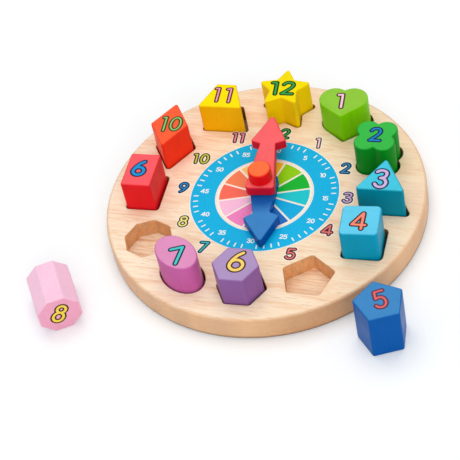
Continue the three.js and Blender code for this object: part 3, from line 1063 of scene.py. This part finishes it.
class SORTER_OT_board(Operator):
    """Draws the board with its recesses and the hole for the peg"""

    bl_idname = "sorter.board"
    bl_label = "Board"

    def execute(self, context):
        sizes = context.scene.sorter_board
        shell = Shell()
        side = rounded_profile(BOARD_TOP, sizes.foot_rounding, sizes.top_rounding)
        foot, top = shell.add_wall(circle_outline(BOARD_RADIUS), side)
        rim_end = shell.size
        mouths = []
        open_recesses = []
        for block in BLOCKS:
            start = shell.size
            down = hollow_profile(BOARD_TOP, RECESS_FLOOR, sizes.mouth_rounding, RECESS_FILLET)
            mouths.append(shell.add_hollow(recess_outline(block), down))
            if block.shape in LOOSE:
                open_recesses.append(slice(start, shell.size))
        recess_end = shell.size
        down = hollow_profile(BOARD_TOP, PEG_HOLE_FLOOR, PEG_HOLE_MOUTH, RECESS_FILLET)
        mouths.append(shell.add_hollow(circle_outline(BORE_RADIUS, BORE_SEGMENTS), down))
        shell.add_flat(foot, up=False)
        shell.add_flat(top, mouths)

        points, normals, walls = shell.arrays()
        order = np.arange(len(walls))
        # Painted shade, kept as the shaded share: the walls of recesses that hold a block, and a band at the
        # mouths of the two open ones
        shaded = np.where((order >= rim_end) & (order < recess_end), walls, 0)
        for recess in open_recesses:
            near_mouth = points[recess, 2] > BOARD_TOP - OPEN_MOUTH_DEPTH * sizes.mouth_rounding
            shaded[recess] *= np.where(near_mouth, OPEN_MOUTH_SHADE, 0)
        shares = {
            "rim": np.where(order < rim_end, walls, 0),
            "hollow": np.where(order < rim_end, 0, walls),
            "shaded": shaded,
        }
        stand_in("board", (points, shell.faces, normals), shares, wood_material(sizes))
        return {"FINISHED"}


class SORTER_OT_blocks(Operator):
    """Draws the twelve painted blocks"""

    bl_idname = "sorter.blocks"
    bl_label = "Blocks"

    def execute(self, context):
        sizes = context.scene.sorter_blocks
        for block in BLOCKS:
            shell = block_shell(block, sizes)
            material = paint_material(sizes, block.shape)
            replace_node(block.name, shell, block_rotation(block), material)
        return {"FINISHED"}


class SORTER_OT_block_numerals(Operator):
    """Prints a numeral on each block, upright to twelve o'clock on those in the board"""

    bl_idname = "sorter.block_numerals"
    bl_label = "Block Numerals"

    def execute(self, context):
        sizes = context.scene.sorter_blocks
        for block in BLOCKS:
            fill, edge, *digits = BLOCK_NUMERALS[block.shape]
            strokes = [stroke * MM for digit in digits for stroke in digit_strokes(*digit)]
            rotation = block_rotation(block)
            shift = shift_to_node(block_shell(block, sizes).arrays()[0] @ rotation.T, block.name)
            upright = rotation if block.shape in LOOSE else turned(0)
            place = upright, shift + upright @ (BLOCK_HEIGHT * UP)
            pen = block.pen * MM
            layers = ("line", pen, edge), ("fill", pen - 2 * sizes.ink_line, fill)
            print_numeral(f"{block.name}_numeral", strokes, layers, place, block.name)
        return {"FINISHED"}


class SORTER_OT_hands(Operator):
    """Draws the hour hand and the minute hand"""

    bl_idname = "sorter.hands"
    bl_label = "Hands"

    def execute(self, context):
        sizes = context.scene.sorter_hands
        bore = circle_outline(BORE_RADIUS, BORE_SEGMENTS)
        for hand in HANDS:
            right_side = [hand.tail, hand.neck, hand.barb]
            corners = np.insert(mirrored_corners(right_side), len(right_side), (0, hand.tip), axis=0) * MM
            outline = corner_outline(corners, HAND_CORNER_RADII)
            low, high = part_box(hand.name)
            shell = plate(outline, high.z - low.z, sizes.edge_rounding, bore)
            material = paint_material(sizes, hand.name, (260, 40, 260), hand.deep_to * MM)
            replace_node(hand.name, shell, turned(-hand.clock_angle), material)
        return {"FINISHED"}


class SORTER_OT_peg(Operator):
    """Draws the peg that holds the hands, with its round head"""

    bl_idname = "sorter.peg"
    bl_label = "Centre Peg"

    def execute(self, context):
        low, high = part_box("centre_peg")
        head_radius = high.x
        head_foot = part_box("minute_hand")[1].z + HEAD_GAP
        shank = rounded_profile(head_foot - low.z, PEG_ROUNDING, 0)[:, :EDGE_STEPS + 1]
        head = rounded_profile(high.z - head_foot, PEG_ROUNDING, HEAD_TOP_ROUNDING)
        to_shank = np.array([[SHANK_RADIUS - head_radius], [low.z], [0]])
        to_head = np.array([[0], [head_foot], [0]])
        profile = np.concatenate([shank + to_shank, head + to_head], axis=1)
        shell = Shell()
        foot, top = shell.add_wall(circle_outline(head_radius, HEAD_SEGMENTS), profile)
        shell.add_flat(foot, up=False)
        shell.add_flat(top)
        material = paint_material(context.scene.sorter_hands, "peg")
        replace_node("centre_peg", shell, turned(0), material, "board")
        return {"FINISHED"}


def ring_area(inner, outer, rows=3):
    """A flat ring: the point at angle t and share s is (inner + s * (outer - inner)) * (cos t, sin t)."""
    _, normals = circle_outline(1)
    radii = np.linspace(inner, outer, rows)
    points = (radii[:, None, None] * normals).reshape(-1, 2)
    index = np.arange(len(points)).reshape(len(radii), -1)
    following = np.roll(index, -1, axis=1)
    quads = np.stack([index[:-1], index[1:], following[1:], following[:-1]], axis=-1)
    return points, quads.reshape(-1, 4)


def sector_areas(inner, outer, gap, rows=8, columns=13):
    """Twelve sectors with straight gaps: at radius r each end of a sector loses arcsin(gap / 2r)."""
    hours = np.arange(1, 13)[:, None, None]
    radii = np.linspace(inner, outer, rows)[None, :, None]
    share = np.linspace(-1, 1, columns)[None, None, :]
    half = TURN / 24 - np.arcsin(gap / 2 / radii)
    angle = TURN / 4 - hours * TURN / 12 - share * half
    points = radii[..., None] * directions(angle)
    index = np.arange(points.size // 2).reshape(points.shape[:3])
    corners = index[:, :-1, 1:], index[:, 1:, 1:], index[:, 1:, :-1], index[:, :-1, :-1]
    return points.reshape(-1, 2), np.stack(corners, axis=-1).reshape(-1, 4)


class SORTER_OT_clock_face(Operator):
    """Prints the minute ring, the sectors, the minute labels and the hours on the board"""

    bl_idname = "sorter.clock_face"
    bl_label = "Clock Face"

    def execute(self, context):
        sizes = context.scene.sorter_print
        place = np.eye(3), BOARD_TOP * UP
        white = ink_material("white_ink", sizes.white)

        def printed(name, area, layer, material, colours=None):
            ink_piece(name, area, layer, place, "board", material, colours)

        inner, outer = sizes.ring_inner, sizes.ring_outer
        border = ring_area(inner - sizes.ring_line, outer + sizes.ring_line)
        printed("minute_ring_border", border, 0, white)
        printed("minute_ring", ring_area(inner, outer), 1, ink_material("minute_ring_ink", sizes.ring))

        ground = ring_area(GROUND_INNER, inner - GROUND_MARGIN)
        printed("sector_ground", ground, 0, ink_material("sector_ground_ink", sizes.ground))
        points, quads = sector_areas(SECTOR_INNER, sizes.sector_reach, sizes.sector_gap)
        own = np.array([(*srgb(*ink), 1) for ink in SECTOR_INKS])
        colours = np.repeat(own, len(quads) // len(own), axis=0)
        printed("hour_sectors", (points, quads.tolist()), 1, ink_material("sector_ink"), colours)

        tick_ends = sizes.tick_reach - TICK_HALF_LENGTH, sizes.tick_reach + TICK_HALF_LENGTH
        ticks = [
            np.array([on_clock(6 * minute, reach) for reach in tick_ends])
            for minute in range(60)
            if minute % 5
        ]
        printed("minute_ticks", pen_area(ticks, TICK_WIDTH), 2, white)
        labels = [
            stroke
            for hour in range(1, 13)
            for stroke in word_strokes(
                str(5 * hour), on_clock(30 * hour, sizes.label_reach), LABEL_HEIGHT, LABEL_GAP
            )
        ]
        printed("minute_labels", pen_area(labels, LABEL_WIDTH), 2, white)

        for hour, (middle, fill, edge) in enumerate(HOURS, start=1):
            strokes = word_strokes(str(hour), np.array(middle) * MM, HOUR_HEIGHT, HOUR_GAP)
            layers = ("halo", HALO_WIDTH, HALO_INK), ("line", LINE_WIDTH, edge), ("fill", FILL_WIDTH, fill)
            print_numeral(f"hour_{hour}", strokes, layers, place, "board")
        return {"FINISHED"}


class SORTER_OT_stage(Operator):
    """Sets the camera, the lamps, the pale background and the floor"""

    bl_idname = "sorter.stage"
    bl_label = "Stage"

    def execute(self, context):
        scene = context.scene
        sizes = scene.sorter_stage
        scene.view_settings.view_transform = "Standard"
        camera = bpy.data.cameras.new("camera")
        camera.lens = sizes.lens
        camera.sensor_width = SENSOR_WIDTH
        viewer = bpy.data.objects.new("camera", camera)
        pan, tilt, roll = (Matrix.Rotation(math.radians(angle), 4, axis) for angle, axis in CAMERA_TURNS)
        viewer.matrix_world = Matrix.Translation(CAMERA_PLACE) @ (pan @ tilt @ roll)
        scene.collection.objects.link(viewer)
        scene.camera = viewer

        for name, (place, size) in LAMPS.items():
            lamp = bpy.data.lights.new(name, "AREA")
            lamp.size = size
            lamp.energy = getattr(sizes, name)
            holder = bpy.data.objects.new(name, lamp)
            facing = (-Vector(place)).to_track_quat("-Z", "Y").to_matrix().to_4x4()
            holder.matrix_world = Matrix.Translation(place) @ facing
            scene.collection.objects.link(holder)

        world = bpy.data.worlds.new("studio")
        world.use_nodes = True
        background = world.node_tree.nodes["Background"]
        background.inputs["Color"].default_value = (1, 1, 1, 1)
        background.inputs["Strength"].default_value = sizes.ambient
        scene.world = world

        corners = FLOOR_REACH * np.array([(-1, -1, 0), (1, -1, 0), (1, 1, 0), (-1, 1, 0)])
        floor = make_mesh("floor", corners, [[0, 1, 2, 3]])
        floor.data.materials.append(self.floor_material())
        return {"FINISHED"}

    def floor_material(self):
        """A pale floor that the camera, and gloss, see as white, while its shadows stay.

        It glows more farther out, where the lamps reach it less.
        """
        n = Nodes("pale_floor")
        rays = n.add("ShaderNodeLightPath")
        seen = n.math("MAXIMUM", rays.outputs["Is Camera Ray"], rays.outputs["Is Glossy Ray"])
        seen = n.math("MAXIMUM", seen, rays.outputs["Is Transmission Ray"])
        base = n.mix(seen, (0.8, 0.8, 0.8), (0.9, 0.9, 0.9))
        material = n.finish(base, 0.9)
        n.surface.inputs["Specular IOR Level"].default_value = 0
        glow = n.times(seen, n.spread(n.distance(n.object_place()), 0.15, 1.8, 0.13, 0.56))
        n.surface.inputs["Emission Color"].default_value = (0.78, 0.92, 1, 1)
        n.link(glow, n.surface.inputs["Emission Strength"])
        return material


class SORTER_PT_panel(Panel):
    """Lists the pieces and their sizes"""

    bl_idname = "SORTER_PT_panel"
    bl_label = "Shape Sorter"
    bl_space_type = "VIEW_3D"
    bl_region_type = "UI"
    bl_category = "Shape Sorter"

    def draw(self, context):
        for operator in OPERATORS:
            self.layout.operator(operator.bl_idname)
        for name, group in PROPERTY_GROUPS.items():
            box = self.layout.box()
            box.label(text=group.__name__)
            for prop in group.__annotations__:
                box.prop(getattr(context.scene, name), prop)


OPERATORS = (
    SORTER_OT_stage,
    SORTER_OT_board,
    SORTER_OT_clock_face,
    SORTER_OT_peg,
    SORTER_OT_hands,
    SORTER_OT_blocks,
    SORTER_OT_block_numerals,
)
CLASSES = (*PROPERTY_GROUPS.values(), *OPERATORS, SORTER_PT_panel)


def register():
    for cls in CLASSES:
        bpy.utils.register_class(cls)
    for name, group in PROPERTY_GROUPS.items():
        setattr(bpy.types.Scene, name, PointerProperty(type=group))


def unregister():
    for name in PROPERTY_GROUPS:
        delattr(bpy.types.Scene, name)
    for cls in reversed(CLASSES):
        bpy.utils.unregister_class(cls)


def main():
    register()
    bpy.ops.sorter.stage()
    bpy.ops.sorter.board()
    bpy.ops.sorter.clock_face()
    bpy.ops.sorter.peg()
    bpy.ops.sorter.hands()
    bpy.ops.sorter.blocks()
    bpy.ops.sorter.block_numerals()


if __name__ == "__main__":
    main()
